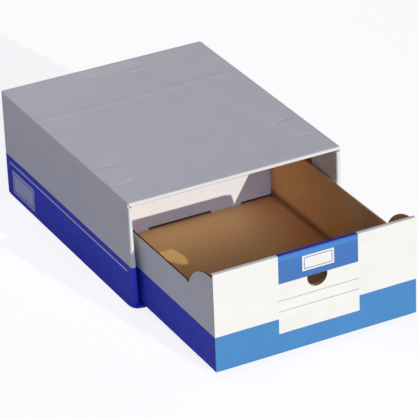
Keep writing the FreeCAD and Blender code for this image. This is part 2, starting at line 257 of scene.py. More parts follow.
class Panel:
    """One piece of corrugated board: a flat pattern in (u, v), bent into place by a function.

    place(u, v, w) gives x, y, z; w runs through the board from -HALF to HALF, where the
    printed liner is. Boundary edges on a joined line close flush against the next panel.
    So do those where flush(u, v) is true. Every other edge is a cut one, where the core lies
    back between the liners. flutes_cross names the pattern's axis that the flutes lie across.
    """

    def __init__(self, outline, place, holes=(), u_extra=(), v_extra=(), joined_u=(),
                 joined_v=(), flush=lambda u, v: False, flutes_cross="u", cell=CELL, scores=()):
        self.place = place
        self.flush = flush
        self.flutes_cross = flutes_cross
        self.joined_u, self.joined_v = joined_u, joined_v
        a = np.array(outline)
        u_lines = grid_lines(a[:, 0].min(), a[:, 0].max(), u_extra, cell)
        v_lines = grid_lines(a[:, 1].min(), a[:, 1].max(), v_extra, cell)
        self.loops = []
        for k, loop in enumerate([list(outline), *map(list, holes)]):
            if runs_left(loop) != (k == 0):
                loop = loop[::-1]
            self.loops.append(subdivide(loop, u_lines, v_lines, cell))
        self.fill(u_lines, v_lines, scores)

    def fill(self, u_lines, v_lines, scores):
        """Triangulates the pattern with a vertex at each grid crossing and along each score."""
        u, v = (g.ravel() for g in np.meshgrid(u_lines, v_lines))
        keep = inside(self.loops, u, v) & (gap_to(self.loops, u, v) > CLEAR)
        grid = np.column_stack([u, v, 0 * u])[keep]          # the third column is the dent
        for line in scores:
            a = np.array(line)
            t = np.gradient(a, axis=0)
            n = np.stack([-t[:, 1], t[:, 0]], 1) / np.linalg.norm(t, axis=1)[:, None]
            gap = np.linalg.norm(grid[:, None, :2] - a, axis=2).min(1)
            rows = [np.column_stack([a + n * SCORE_WIDTH * side,
                                     np.full(len(a), depth * SCORE_DEPTH)])
                    for side, depth in SCORE_PROFILE]
            grid = np.concatenate([grid[gap >= SCORE_WIDTH * 1.6], *rows])
        links, start = [], 0
        for loop in self.loops:
            n = len(loop)
            links += [(start + i, start + (i + 1) % n) for i in range(n)]
            start += n
        points = np.concatenate([[(*p, 0.0) for loop in self.loops for p in loop], grid])
        verts, _, faces, origin, _, _ = delaunay_2d_cdt(
            [Vector(p) for p in points[:, :2]], links, [], 0, 1e-5)
        self.index = {old: new for new, olds in enumerate(origin) for old in olds}
        self.flat = np.array([tuple(p) for p in verts])
        self.dent = np.array([points[olds[0], 2] if olds else 0.0 for olds in origin])
        tri = np.array([list(f) for f in faces])
        middle = self.flat[tri].mean(1)
        self.tri = tri[inside(self.loops, middle[:, 0], middle[:, 1])]

    def is_cut(self, a, b):
        """Whether the boundary edge from a to b is a cut edge of the board."""
        for k, lines in ((0, self.joined_u), (1, self.joined_v)):
            if any(abs(a[k] - c) < SAME_LINE and abs(b[k] - c) < SAME_LINE for c in lines):
                return False
        return not self.flush((a[0] + b[0]) / 2, (a[1] + b[1]) / 2)

    def put(self, bm, layer, points, w):
        """Adds vertices at pattern points, at one depth w or a depth for each."""
        a = np.array(points, float).reshape(-1, 2)
        w = np.broadcast_to(np.asarray(w, float), len(a))
        xyz = np.stack(self.place(a[:, 0], a[:, 1], w), 1)
        across = a[:, 0] if self.flutes_cross == "u" else a[:, 1]
        made = []
        for p, c in zip(xyz, across):
            vert = bm.verts.new((p[0] * MM, p[1] * MM, p[2] * MM))
            vert[layer] = c * MM
            made.append(vert)
        return made

    def skins(self, bm, layer):
        """The two liners' faces and the profile of every edge."""
        outer = self.put(bm, layer, self.flat, HALF - self.dent)
        inner = self.put(bm, layer, self.flat, -HALF)
        for a, b, c in self.tri:
            new_face(bm, (outer[a], outer[b], outer[c]), PRINTED)
            new_face(bm, (inner[c], inner[b], inner[a]), BARE)
        start = 0
        for loop in self.loops:
            n = len(loop)
            cut = [self.is_cut(loop[i], loop[(i + 1) % n]) for i in range(n)]
            rings = [[outer[self.index[start + i]] for i in range(n)]]
            normals = edge_normals(loop)
            core = inset_points(loop, normals, [CORE_INSET * c for c in cut])
            for points, w in ((loop, HALF - LINER), (core, HALF - LINER),
                              (core, LINER - HALF), (loop, LINER - HALF)):
                rings.append(self.put(bm, layer, points, w))
            rings.append([inner[self.index[start + i]] for i in range(n)])
            for ring, following in zip(rings, rings[1:]):
                for i in range(n):
                    j = (i + 1) % n
                    paint = CUT if cut[i] else PRINTED
                    new_face(bm, (ring[i], following[i], following[j], ring[j]), paint)
            self.flutes(bm, layer, loop, normals, cut)
            start += n

    def flutes(self, bm, layer, loop, normals, cut):
        """The fluted paper as a ribbon along each run of cut edges."""
        n = len(loop)
        axis = 0 if self.flutes_cross == "u" else 1
        for i in range(n):
            if not cut[i]:
                continue
            a, b = np.array(loop[i]), np.array(loop[(i + 1) % n])
            steps = max(1, math.ceil(abs(b[axis] - a[axis]) / (FLUTE_PITCH / 8)))
            line = a + (b - a) * np.linspace(0, 1, steps + 1)[:, None]
            wave = np.sin(line[:, axis] * 2 * math.pi / FLUTE_PITCH)
            height = (HALF - LINER - MEDIUM / 2) * wave
            rows = [self.put(bm, layer, line + normals[i] * depth, height + side * MEDIUM / 2)
                    for depth in (FLUTE_FRONT, FLUTE_DEEP) for side in (1, -1)]
            ring = (rows[0], rows[1], rows[3], rows[2])
            for row, following in zip(ring, ring[1:] + ring[:1]):
                for k in range(steps):
                    new_face(bm, (row[k], following[k], following[k + 1], row[k + 1]), CUT)
            new_face(bm, [row[0] for row in reversed(ring)], CUT)
            new_face(bm, [row[-1] for row in ring], CUT)


def new_face(bm, verts, paint):
    face = bm.faces.new(verts)
    face.material_index = paint
    face.smooth = True


def make_piece(name, body, node, panels, paints):
    """One object from one or more panels. It stands for its CAD node and rides that body."""
    bm = bmesh.new()
    layer = bm.verts.layers.float.new("flute")
    for panel in panels:
        panel.skins(bm, layer)
    bmesh.ops.remove_doubles(bm, verts=bm.verts, dist=MERGE * MM)
    bmesh.ops.dissolve_degenerate(bm, edges=bm.edges, dist=MERGE * MM / 2)
    bmesh.ops.recalc_face_normals(bm, faces=bm.faces)
    mesh = bpy.data.meshes.new(name)
    bm.to_mesh(mesh)
    bm.free()
    for paint in paints:
        mesh.materials.append(paint)
    mesh.set_sharp_from_angle(angle=math.radians(SHARP_ANGLE))
    piece = bpy.data.objects.new(name, mesh)
    bpy.context.scene.collection.objects.link(piece)
    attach(piece, body)
    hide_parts(node)


def sleeve_piece(name, node, panels, paints=None):
    make_piece(name, "casing", node, panels, paints or (SLEEVE, KRAFT_LINER, CUT_EDGE))


def drawer_piece(name, node, panels, paints):
    make_piece(name, "drawer", node, panels, paints)


def rectangle(u0, u1, v0, v1):
    return [(u0, v0), (u1, v0), (u1, v1), (u0, v1)]


def mirrored(half, middle=0.0):
    """Completes an outline whose left side mirrors its right side."""
    return half + [(2 * middle - u, v) for u, v in reversed(half)]


def flap_outline(hinge, end, low, high, taper, relief):
    """A flap with two cut corners, and a little relief beside the upper end of its hinge."""
    return [(hinge, low), (end + taper, low), (end, low + taper), (end, high - taper),
            (end + taper, high), (hinge, high - relief)]


def arc_points(centre, radius, start, end, steps):
    """Points on an arc, angles in degrees, both ends included."""
    angles = np.radians(np.linspace(start, end, steps + 1))
    return [(centre[0] + radius * math.cos(a), centre[1] + radius * math.sin(a)) for a in angles]


# ---- Bends ----
def crease_lines(start):
    return list(np.linspace(start, start + QUARTER, CREASE_STEPS + 1))


def follow(s, w, start, heading, turn, segments):
    """Walks along the outer face of a bent board and steps w back from it, in one plane.

    turn is 1 where the board bends to the left of its heading, and its inside is there too.
    A segment is a straight length, or minus the outer radius of one right-angled crease.
    Points and directions in the plane are complex numbers.
    """
    depth = HALF - w
    at = complex(*start)
    ahead = cmath.rect(1, math.radians(heading))
    points = np.zeros(len(s), complex)
    done = 0.0
    for k, segment in enumerate(segments):
        side = ahead * turn * 1j
        along = s - done
        reached = (along >= -1e-9) | (k == 0)
        if segment < 0:
            centre = at - segment * side
            bend = np.exp(1j * turn * np.clip(along / QUARTER, 0, 1) * math.pi / 2)
            points = np.where(reached, centre + (segment + depth) * side * bend, points)
            at = centre + segment * side * turn * 1j
            ahead = side
            done += QUARTER
        else:
            points = np.where(reached, at + along * ahead + depth * side, points)
            at += segment * ahead
            done += segment
    return points.real, points.imag


def smooth_step(t):
    t = np.clip(t, 0, 1)
    return t * t * (3 - 2 * t)


def ripple(a, b, seed):
    """Slow unevenness of a board's face, from 0 to 1."""
    return 0.5 + 0.25 * (np.sin(a / 37.0 + seed) * np.cos(b / 51.0 + 2 * seed)
                         + np.sin((a + b) / 83.0 + 3 * seed))


def fade_in(value, low, high, width):
    """0 at the two limits and 1 further than width inside them."""
    return smooth_step((value - low) / width) * smooth_step((high - value) / width)


# ---- Places of the sleeve's panels ----
TOP_EDGE = OUTER - CREASE_OUT
WALL_FLAT = HEIGHT - 2 * CREASE_OUT
WALL_SPAN = WALL_FLAT + 2 * QUARTER
WALL_BACK = REAR_INNER - CREASE_OUT


def swell(side, z):
    """Extra radius of a side's rolled edge."""
    head, foot = LEFT_SWELL if side < 0 else RIGHT_SWELL
    return head + (foot - head) * smooth_step(1 - z / (0.8 * HEIGHT))


def soften(x, y, z):
    """Presses in the sleeve's two lower front corners."""
    away = np.sqrt((OUTER - np.abs(x)) ** 2 + (y - FRONT) ** 2 + z ** 2)
    near = np.clip(1 - away / CORNER_REACH, 0, 1) ** 2
    give_x, give_y, give_z = CORNER_GIVE
    return x - np.sign(x) * give_x * near, y + give_y * near, z + give_z * near


def wall_place(side, u, v, w):
    """Sleeve wall: u is y and v runs up over both creases. The rear end bends into its flap."""
    p, z = follow(v, w, (-TOP_EDGE, 0), 180, -1, (-CREASE_OUT, WALL_FLAT, -CREASE_OUT))
    calm = fade_in(u, FRONT, REAR, FACE_CALM[0]) * fade_in(z, 0, HEIGHT, FACE_CALM[1])
    p = p + WALL_UNEVEN * ripple(u, z, 1.0 + side) * calm
    back = u > WALL_BACK
    angle = np.clip((u - WALL_BACK) / QUARTER, 0, 1) * math.pi / 2
    radius = CREASE_OUT - (HALF - w)
    p = np.where(back, -TOP_EDGE - radius * np.cos(angle), p)
    y = np.where(back, WALL_BACK + radius * np.sin(angle), u)
    return soften(-side * p, y, z)


def slot_middle(u):
    """The lock slot's middle line across the top: a shallow arc."""
    across = (u - SLOT_SIDEWAYS) / (SLOT_LENGTH / 2)
    return REAR - SLOT_FROM_REAR + SLOT_BOW * across ** 2


def slot_dent(u, v):
    """How far the top is pressed in behind the lock slot, and at the right of its front lip."""
    beside = u - SLOT_SIDEWAYS
    half = SLOT_LENGTH / 2 + 4
    ahead = slot_middle(u) - SLOT_WIDTH / 2 - v
    lip = LIP_DIP * smooth_step(ahead / 3.5) * smooth_step((LIP_REACH - ahead) / 9)
    behind = v - slot_middle(u) - SLOT_WIDTH / 2
    press = SLOT_PRESS * (0.4 + 0.6 * smooth_step(behind / 6))
    press = press * smooth_step((PRESS_REACH - behind) / 24) * (behind > -0.1)
    lip = lip * smooth_step((beside - 12) / 8) * (ahead > -0.1)
    return fade_in(beside, -half, half, 12) * (lip + press)


def top_place(u, v, w):
    """The top sags between its edges and bulges over the tuck flap's end."""
    calm = fade_in(u, -OUTER, OUTER, TOP_CALM[0]) * fade_in(v, FRONT, REAR, TOP_CALM[1])
    sag = TOP_SAG * calm * (0.7 + 0.3 * ripple(u, v, 0.4))
    ridge = np.exp(-((v - REAR + TUCK_RIDGE_FROM_REAR) / TUCK_RIDGE_WIDTH) ** 2)
    across, along = TUCK_RIDGE_CALM
    calm = fade_in(u, -OUTER, OUTER, across) * fade_in(v, FRONT, REAR, along)
    sag = sag + TUCK_RIDGE * (1 - ridge) * calm
    return u, v, HEIGHT - (HALF - w) - sag - slot_dent(u, v)


def floor_place(u, v, w):
    return soften(u, v, HALF - w)


TURN_ARC = (ROLL / 2 - HALF) * math.pi       # the pattern's share of the roll
TURN_END = TURN_ARC + TURN_IN_END - FRONT - ROLL / 2
SHOULDER = (TURN_ARC * 0.96, TURN_ARC + 1.2)  # a turned-in flap narrows between these


def turn_in_shape(v, w, extra):
    """Section of a turned-in edge: depth from the outer face and y, for a fuller radius."""
    radius = ROLL / 2 + extra
    inner = radius - (HALF - w)
    angle = np.clip(v / TURN_ARC, 0, 1) * math.pi
    run = np.maximum(v - TURN_ARC, 0)
    y = FRONT + radius - inner * np.sin(angle) + run
    depth = radius - inner * np.cos(angle) - 2 * extra * smooth_step(run / SWELL_FADE)
    return depth, y


def level_turn_in_place(upper, u, v, w):
    depth, y = turn_in_shape(v, w, 0.0)
    return (u, y, HEIGHT - depth) if upper else soften(u, y, depth)


def side_turn_in_place(side, u, v, w):
    depth, y = turn_in_shape(v, w, swell(side, u))
    return soften(side * (OUTER - depth), y, u)


REAR_FLAT = CEILING - 2 * CREASE_OUT
REAR_SPAN = REAR_FLAT + 2 * QUARTER


def rear_place(u, v, w):
    p, q = follow(v, w, (REAR - CREASE_OUT, 0), 0, 1, (-CREASE_OUT, REAR_FLAT, -CREASE_OUT))
    calm = fade_in(u, -OUTER, OUTER, FACE_CALM[0]) * fade_in(q, 0, HEIGHT, FACE_CALM[1])
    return u, p - REAR_UNEVEN * ripple(u, q, 2.2) * calm, q


# ---- Places of the drawer's panels ----
D_WALL_FRONT = D_FRONT + BOARD + CREASE_OUT
D_WALL_BACK = D_BACK - BOARD - CREASE_OUT
RIM_CREASE = 0.8
FRONT_FLAT = D_FRONT_TOP - D_BOTTOM - CREASE_OUT - RIM_CREASE
BACK_FLAT = D_SIDE_TOP - D_BOTTOM - CREASE_OUT - RIM_CREASE
RIM_FLAT = END_THICKNESS - 2 * RIM_CREASE


def drawer_wall_place(side, u, v, w):
    """Drawer side: u is y and v runs up over the lower crease. Both ends bend into flaps."""
    edge = D_HALF - CREASE_OUT
    p, q = follow(v, w, (-edge, D_BOTTOM), 180, -1, (-CREASE_OUT, BACK_FLAT))
    along, up = D_WALL_CALM
    calm = fade_in(u, D_FRONT, D_BACK, along) * smooth_step((q - D_BOTTOM) / up)
    p = p + D_WALL_UNEVEN * ripple(u, q, 3.1 + side) * calm
    y = u
    radius = CREASE_OUT - (HALF - w)
    for limit, sign in ((D_WALL_FRONT, -1), (D_WALL_BACK, 1)):
        beyond = (u - limit) * sign > 0
        angle = np.clip((u - limit) * sign / QUARTER, 0, 1) * math.pi / 2
        p = np.where(beyond, -edge - radius * np.cos(angle), p)
        y = np.where(beyond, limit + sign * radius * np.sin(angle), y)
    return D_MIDDLE - side * p, y, q


def end_place(at_front, flat, u, v, w):
    """Front or back: v runs up the outer panel, over the rim and down the lining."""
    run = (-CREASE_OUT, flat, -RIM_CREASE, RIM_FLAT, -RIM_CREASE, flat)
    p, q = follow(v, w, (CREASE_OUT, D_BOTTOM), 180, -1, run)
    return u, (D_FRONT + p if at_front else D_BACK - p), q


def corner_flap_place(at_front, side, u, v, w):
    y = D_FRONT + BOARD + (HALF - w) if at_front else D_BACK - BOARD - (HALF - w)
    return D_MIDDLE + side * u, y, v


# ---- Materials ----
def linear(red, green, blue):
    """A colour written as 0 to 255 screen values."""
    values = []
    for c in (red, green, blue):
        c /= 255
        values.append(c / 12.92 if c <= 0.04045 else ((c + 0.055) / 1.055) ** 2.4)
    return (*values, 1.0)


class Tree:
    """Short ways to add nodes to a material or a world."""

    def __init__(self, owner):
        owner.use_nodes = True
        self.tree = owner.node_tree

    def add(self, kind, inputs=None, **settings):
        node = self.tree.nodes.new(kind)
        for key, value in settings.items():
            setattr(node, key, value)
        for key, value in (inputs or {}).items():
            self.set(node.inputs[key], value)
        return node

    def set(self, socket, value):
        if isinstance(value, bpy.types.NodeSocket):
            self.tree.links.new(value, socket)
        else:
            socket.default_value = value

    def math(self, operation, a, b=0.0):
        return self.add("ShaderNodeMath", {0: a, 1: b}, operation=operation).outputs[0]

    def fold(self, operation, values):
        return reduce(partial(self.math, operation), values)

    def look_at_camera(self, usual, seen, share, output):
        """Sends the usual shader out, with a share of another one where the camera looks."""
        camera = self.add("ShaderNodeLightPath").outputs["Is Camera Ray"]
        mixed = self.add("ShaderNodeMixShader", {
            0: self.math("MULTIPLY", camera, share), 1: usual.outputs[0], 2: seen.outputs[0]})
        self.set(self.tree.nodes[output].inputs["Surface"], mixed.outputs[0])


class Shader(Tree):
    """A material. Its axis holds the object's own x, y and z."""

    def __init__(self, name):
        self.material = bpy.data.materials.new(name)
        super().__init__(self.material)
        self.surface = self.tree.nodes["Principled BSDF"]
        self.place = self.add("ShaderNodeTexCoord").outputs["Object"]
        split = self.add("ShaderNodeSeparateXYZ", {"Vector": self.place})
        self.axis = dict(zip("xyz", split.outputs))

    def mix(self, factor, a, b, blend="MIX"):
        node = self.add("ShaderNodeMix", data_type="RGBA", blend_type=blend)
        for socket, value in ((0, factor), (6, a), (7, b)):
            self.set(node.inputs[socket], value)
        return node.outputs[2]

    def noise(self, scale, stretch=(1, 1, 1), detail=3.0, roughness=0.55):
        mapped = self.add("ShaderNodeMapping", {"Vector": self.place, "Scale": stretch})
        return self.add("ShaderNodeTexNoise", {
            "Vector": mapped.outputs[0], "Scale": scale, "Detail": detail,
            "Roughness": roughness}).outputs["Fac"]

    def span(self, value, low, high, to_low=0.0, to_high=1.0):
        return self.add("ShaderNodeMapRange", {
            "Value": value, "From Min": low, "From Max": high,
            "To Min": to_low, "To Max": to_high}).outputs[0]

    def within(self, **limits):
        """1 inside a box given as millimetre limits on some of the axes."""
        return self.fold("MULTIPLY", [
            self.math(operation, self.axis[axis], limit * MM)
            for axis, ends in limits.items()
            for operation, limit in zip(("GREATER_THAN", "LESS_THAN"), ends)
            if limit is not None])

    def ramps(self, runs):
        """The product of straight runs from 0 to 1 along an axis, each (axis, from, to) in mm."""
        return self.fold("MULTIPLY", [self.span(self.axis[axis], low * MM, high * MM)
                                      for axis, low, high in runs])

    def flute_wave(self):
        across = self.add("ShaderNodeAttribute", attribute_name="flute").outputs["Fac"]
        turns = self.math("MULTIPLY", across, 2 * math.pi / (FLUTE_PITCH * MM))
        return self.math("SINE", turns)

    def finish(self, color, roughness, normal):
        """Connects the surface, which is dull like paper."""
        self.set(self.surface.inputs["Base Color"], color)
        self.set(self.surface.inputs["Roughness"], roughness)
        self.set(self.surface.inputs["Normal"], normal)
        self.surface.inputs["Specular IOR Level"].default_value = PAPER_SHINE
        return self.material

    def bump(self, height, distance, strength, before=None):
        inputs = {"Height": height, "Distance": distance, "Strength": strength}
        if before is not None:
            inputs["Normal"] = before
        return self.add("ShaderNodeBump", inputs).outputs[0]


# The white liner and its print, with some painted light and shade
WHITE = linear(236, 234, 230)
WHITE_DULL = linear(228, 227, 225)
WHITE_WARM = linear(234.5, 231, 223.5)   # the drawer's front
# Painted light: the linings take a lighter, bluer white, the colour of the cool light inside the
# drawer.
WHITE_INSIDE = linear(235, 236, 243)     # the drawer's linings
# Painted shade: the sleeve's top is a greyer white than its sides.
WHITE_TOP = linear(221, 220, 219)        # the sleeve's top
# The sides' blue: the front's blue made deeper and more violet, painted shade for sides that stand
# in shade.
INK_SIDE = linear(62, 71, 221)
INK_PALE = linear(216, 219, 243)
INK_FRONT = linear(63, 130, 188)
# The patch's blue: the front's blue a little darker, painted shade on the patch, which leans back
# from the light.
INK_PATCH = linear(57, 110, 176)
# Painted highlight: a paler blue along the patch's top crease, which catches the light.
INK_HIGHLIGHT = linear(72, 130, 196)
# The rim's blue: darker and more violet, painted shade on the rim's top, which faces away from the
# low light.
INK_RIM = linear(50, 58, 178)
RULE_GREY = linear(150, 152, 160)

# The bare liner and the cut edges, with painted light and shade
KRAFT = linear(254, 203, 137)
KRAFT_DARK = linear(238, 184, 119)
# Painted light: the drawer floor's kraft is paler than the walls', as the floor gets more light.
KRAFT_PALE = linear(252, 210, 138)
# Painted shade: a red brown that darkens the floor towards both sides.
KRAFT_SHADE_RED = linear(188, 78, 30)
# A dark brown for painted shade, and for crushed board at the inside corners.
CRUSH_AND_SHADE_BROWN = linear(84, 36, 26)
SPECK = linear(96, 66, 40)
EDGE = linear(120, 84, 54)
EDGE_DARK = linear(84, 56, 36)
# Painted light: a pale cut edge for the right drawer wall's top, which faces the light.
EDGE_LIT = linear(226, 198, 164)
PAPER_SHINE = 0.25


def printed_board(name, layers):
    """White liner with flat print. layers are (ink, [boxes]), each painted over the last."""
    s = Shader(name)
    mottle = s.noise(38.0, detail=4.0)
    fibre = s.noise(900.0, stretch=(1.0, 0.35, 0.8), detail=2.0)
    color = s.mix(s.span(mottle, 0.35, 0.65), WHITE, WHITE_DULL)
    ribs = s.flute_wave()
    for ink, boxes in layers:
        printed = s.fold("MAXIMUM", [s.within(**limits) for limits in boxes])
        cover = s.math("MULTIPLY", printed, s.span(fibre, 0.25, 0.6, 0.93, 1.0))
        color = s.mix(cover, color, ink)
    shade = s.math("MULTIPLY", s.span(mottle, 0.3, 0.7, 0.95, 1.0),
                   s.span(ribs, -1.0, 1.0, 0.992, 1.0))
    tint = s.add("ShaderNodeCombineColor", {0: shade, 1: shade, 2: shade}).outputs[0]
    grain = s.bump(fibre, 0.02 * MM, 0.4, s.bump(ribs, 0.02 * MM, 0.4))
    return s.finish(s.mix(1.0, color, tint, "MULTIPLY"), s.span(fibre, 0.3, 0.7, 0.60, 0.72), grain)


def kraft_board(name, light, dark, shaded_boxes=(), shades=()):
    """Bare brown liner: long fibres, specks and the ribs of the flutes showing through.

    The fourth argument holds (strength, box) pairs painted darker: painted shade, and crushed paper
    in corners.
    shades are (strength, colour, runs), painted shade that fades along an axis.
    """
    s = Shader(name)
    cloud = s.noise(14.0, detail=5.0, roughness=0.6)
    fibre = s.noise(520.0, stretch=(1.0, 0.18, 1.0), detail=4.0, roughness=0.7)
    speck = s.noise(1500.0, detail=1.0)
    ribs = s.flute_wave()
    color = s.mix(s.span(cloud, 0.3, 0.7), light, dark)
    color = s.mix(s.span(fibre, 0.45, 0.8, 0.0, 0.45), color, dark)
    color = s.mix(s.span(speck, 0.68, 0.74, 0.0, 0.4), color, SPECK)
    color = s.mix(s.span(ribs, -1.0, 1.0, 0.10, 0.0), color, dark)
    for strength, limits in shaded_boxes:
        color = s.mix(s.math("MULTIPLY", s.within(**limits), strength), color, CRUSH_AND_SHADE_BROWN)
    for strength, shade_colour, runs in shades:
        color = s.mix(s.math("MULTIPLY", s.ramps(runs), strength), color, shade_colour)
    grain = s.bump(fibre, 0.04 * MM, 0.6, s.bump(ribs, 0.05 * MM, 0.6))
    return s.finish(color, s.span(fibre, 0.3, 0.7, 0.78, 0.9), grain)


# On the sleeve's sides: (from, to) along the side from the mouth, then (bottom, top).
BAND_TOP = 56.5
LINE = (13.0, 343.0, 46.2, 48.6)
MARK = (273.5, 336.5, 7.5, 38.8)
MARK_KEYLINE = (3.0, 1.3)        # its gap from the mark's edge, and its width
# The top's painted shade starts this far in from its edges.
EDGE_WRAP = 1.2                  # the top's tone starts this far in from its edges

# On the drawer's front: (left, right) from its middle, then (bottom, top) from its bottom.
FRONT_BAND_TOP = 45.0
PRINT_TOP = D_FRONT_TOP - D_BOTTOM      # the front's whole height
LABEL = (-49.1, 55.1, 25.7, FRONT_BAND_TOP + 1)
PATCH = (-48.4, 54.1, 89.0, PRINT_TOP + 1)
# Painted highlight along the patch's top crease.
PATCH_HIGHLIGHT = (*PATCH[:2], 117.0, 122.5)       # the patch is paler along its top crease
BLEED = (*PATCH[:2], PRINT_TOP - 12, PRINT_TOP + 28)   # its ink runs over the rim and inside
PLATE = (-17.7, 23.1, 96.8, 116.0)
PLATE_KEYLINE = (2.2, 0.9)
RULES = [(*LABEL[:2], height, height + 0.8) for height in (67.0, 53.3)]
# Painted shade on the rim's top starts here.
RIM_INK_FROM = 0.7               # the darker ink starts this far behind the front's face


def keyline(low, high, bottom, top, gap, width):
    """Four thin rectangles that frame the inside of one."""
    a0, a1, b0, b1 = low + gap, high - gap, bottom + gap, top - gap
    return [(a0, a1, b0, b0 + width), (a0, a1, b1 - width, b1),
            (a0, a0 + width, b0, b1), (a1 - width, a1, b0, b1)]


def on_side(low, high, bottom, top):
    return {"y": (FRONT + low, FRONT + high), "z": (bottom, top)}


def on_front(low, high, bottom, top, **more):
    return {"x": (D_MIDDLE + low, D_MIDDLE + high), "z": (D_BOTTOM + bottom, D_BOTTOM + top),
            **more}


def below(height):
    return {"z": (None, D_BOTTOM + height)}


OUTSIDE = (None, D_FRONT + HALF)     # the plate is printed on the outer face only
SLEEVE = printed_board("sleeve_print", [
    (WHITE_TOP, [{"z": (HEIGHT - EDGE_WRAP, None), "y": (FRONT + EDGE_WRAP, None)}]),
    (INK_SIDE, [{"z": (None, BAND_TOP)}]),
    (INK_PALE, [on_side(*LINE), on_side(*MARK)]),
    (INK_SIDE, [on_side(*line) for line in keyline(*MARK, *MARK_KEYLINE)]),
])
DRAWER_FRONT_INK = printed_board("drawer_front_print", [
    (WHITE_WARM, [below(PRINT_TOP + 1)]),
    (INK_FRONT, [below(FRONT_BAND_TOP)]),
    (INK_PATCH, [on_front(*PATCH)]),
    (INK_HIGHLIGHT, [on_front(*PATCH_HIGHLIGHT)]),
    (INK_RIM, [on_front(*PATCH, y=(D_FRONT + RIM_INK_FROM, None))]),
    (WHITE_WARM, [on_front(*PLATE, y=OUTSIDE), on_front(*LABEL)]),
    (RULE_GREY, [on_front(*rule) for rule in RULES]),
    (INK_PATCH, [on_front(*line, y=OUTSIDE) for line in keyline(*PLATE, *PLATE_KEYLINE)]),
])
# The drawer's sides take the lighter white all over: painted light against the shade from the
# sleeve and front.
DRAWER_SIDE_INK = printed_board("drawer_side_print", [
    (WHITE, [below(D_EAR_TOP)]), (INK_SIDE, [below(FRONT_BAND_TOP)])])
LINING_INK = printed_board("lining_print", [
    (WHITE_INSIDE, [below(D_EAR_TOP)]), (INK_SIDE, [on_front(*BLEED)])])

# Painted shade on the drawer's bare board. A soft one is (strength, colour, runs), a run (axis,
# from, to).
# Painted shade under the linings, and crushed board with painted shade along the inside corners.
UNDER_LINING = (0.8, 0.6)        # the strength, and how far in under the lining's face it ends
CORNER_CRUSH_AND_SHADE = ((3.4, 0.10), (2.2, 0.14), (1.1, 0.3))   # how far from a corner, and how strong
FOOT = D_BOTTOM + BOARD          # the drawer's floor
# Painted shade: darker towards the front, at the walls' foot, where the board is also crushed,
# across the middle and at the rear, and redder towards both sides.
FRONT_SHADE = (0.45, CRUSH_AND_SHADE_BROWN, [("y", D_FRONT + 162, D_FRONT + 112)])
FOOT_SHADE = (0.68, CRUSH_AND_SHADE_BROWN, [("z", FOOT + 0.6, FOOT + 2.8), ("z", FOOT + 14, FOOT + 5)])
MIDDLE_SHADE = (0.14, CRUSH_AND_SHADE_BROWN, [("y", D_FRONT + 289, D_FRONT + 219)])
REAR_SHADE = (0.1, CRUSH_AND_SHADE_BROWN, [("y", D_BACK - 68, D_BACK - 18)])
RIGHT_SHADE = (0.4, KRAFT_SHADE_RED, [("x", D_MIDDLE + 52, D_MIDDLE + 108)])
LEFT_SHADE = (0.24, KRAFT_SHADE_RED, [("x", D_MIDDLE - 30, D_MIDDLE - 80)])


def drawer_shaded_boxes():
    """Painted shade under the linings, and crushed board with painted shade in the inside corners
    along its two sides.
    """
    strength, inset = UNDER_LINING
    front, back = D_FRONT + END_THICKNESS - inset, D_BACK - END_THICKNESS + inset
    under = (None, FOOT + LINING_LIFT)
    boxes = [(strength, {"y": limits, "z": under}) for limits in ((None, front), (back, None))]
    for reach, strength in CORNER_CRUSH_AND_SHADE:
        inside = D_HALF - BOARD - reach
        low = (D_BOTTOM, FOOT + reach)
        boxes.append((strength, {"x": (D_MIDDLE + inside, None), "z": low}))
        boxes.append((strength, {"x": (None, D_MIDDLE - inside), "z": low}))
    return boxes


KRAFT_LINER = kraft_board("kraft_liner", KRAFT, KRAFT_DARK)
DRAWER_KRAFT = kraft_board("drawer_kraft", KRAFT, KRAFT_DARK, drawer_shaded_boxes(),
                           [FRONT_SHADE, FOOT_SHADE])
# The drawer's floor: a paler kraft, painted light, with painted shade.
FLOOR_KRAFT = kraft_board("floor_kraft", KRAFT_PALE, KRAFT, drawer_shaded_boxes(),
                          [FRONT_SHADE, MIDDLE_SHADE, REAR_SHADE, RIGHT_SHADE, LEFT_SHADE])
CUT_EDGE = kraft_board("cut_edge", EDGE, EDGE_DARK)
LIT_EDGE = kraft_board("lit_edge", EDGE_LIT, KRAFT_DARK)


# ---- Sleeve ----
def slot_outline():
    across = np.linspace(SLOT_SIDEWAYS - SLOT_LENGTH / 2, SLOT_SIDEWAYS + SLOT_LENGTH / 2, 21)
    lower = [(u, slot_middle(u) - SLOT_WIDTH / 2) for u in across]
    return lower + [(u, slot_middle(u) + SLOT_WIDTH / 2) for u in across[::-1]]


def tab_scores():
    """A U-shaped score at each side edge of the top, its round end inwards."""
    low, high = (FRONT + d for d in TAB_SCORE_FROM_FRONT)
    edge, end, radius = OUTER - 5.0, OUTER - TAB_SCORE_REACH, TAB_SCORE_RADIUS
    upper = arc_points((end + radius, high - radius), radius, 90, 180, 10)
    lower = arc_points((end + radius, low + radius), radius, 180, 270, 10)
    across = np.linspace(edge, end + radius, 9)[:-1]
    along = np.linspace(high - radius, low + radius, 9)[1:-1]
    line = [(u, high) for u in across] + upper + [(end, v) for v in along]
    line += lower + [(u, low) for u in across[::-1]]
    return [line, [(-u, v) for u, v in reversed(line)]]


